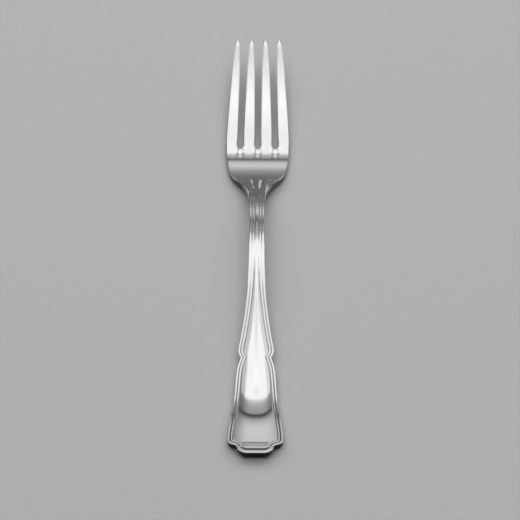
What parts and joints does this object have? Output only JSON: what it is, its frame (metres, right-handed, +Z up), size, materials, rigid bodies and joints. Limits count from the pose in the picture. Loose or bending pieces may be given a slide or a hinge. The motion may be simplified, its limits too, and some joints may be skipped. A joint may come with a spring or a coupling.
{
  "type": "child fork",
  "caption": "Polished silver child's fork with round-tipped tines, a plain palm, an arched reeded stem and a thread-edged handle with a shield-shaped end.",
  "frame": {"origin": "middle of the fork's box, on the table that it rests on", "axes": "+Y along the fork towards the tips of the tines, +Z up, out of the table, +X to the right of the tines seen from above with the tips pointing away"},
  "size_m": [0.0198, 0.155, 0.0094],
  "materials": {
    "polished_silver": "bright polished silver with fine handling scratches"
  },
  "bodies": {
    "root": {"handle_terminal": "polished_silver", "handle_shield": "polished_silver", "handle_shaft": "polished_silver", "stem": "polished_silver", "neck": "polished_silver", "palm": "polished_silver", "tine_left_outer": "polished_silver", "tine_left_inner": "polished_silver", "tine_right_inner": "polished_silver", "tine_right_outer": "polished_silver"}
  },
  "joints": []
}
